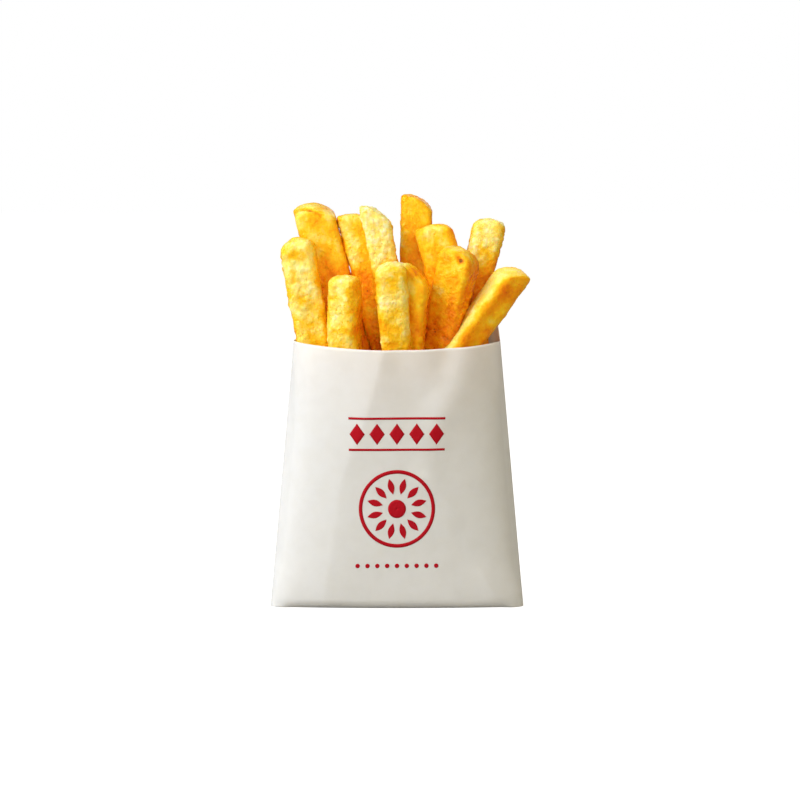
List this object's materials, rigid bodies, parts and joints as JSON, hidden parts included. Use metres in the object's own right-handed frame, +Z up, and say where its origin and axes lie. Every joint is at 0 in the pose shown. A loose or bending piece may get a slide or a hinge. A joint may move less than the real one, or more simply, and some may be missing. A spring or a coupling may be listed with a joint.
{
  "type": "french fries in a paper bag",
  "caption": "Thick-cut french fries standing in an open white paper bag that has a straight folded base and a taller back.",
  "frame": {"origin": "middle of the bag's flat base, on the surface it stands on", "axes": "+Z up, -Y out of the lower front panel, X along the bag's width"},
  "size_m": [0.0888, 0.0418, 0.1431],
  "materials": {
    "paper": "smooth white greaseproof paper with a faint warm tone",
    "fried_potato": "golden fried potato, lightly oily, mottled from pale yellow to orange",
    "print": "flat red ink on paper"
  },
  "bodies": {
    "root": {"bag": "paper", "fries": "fried_potato"}
  },
  "joints": []
}
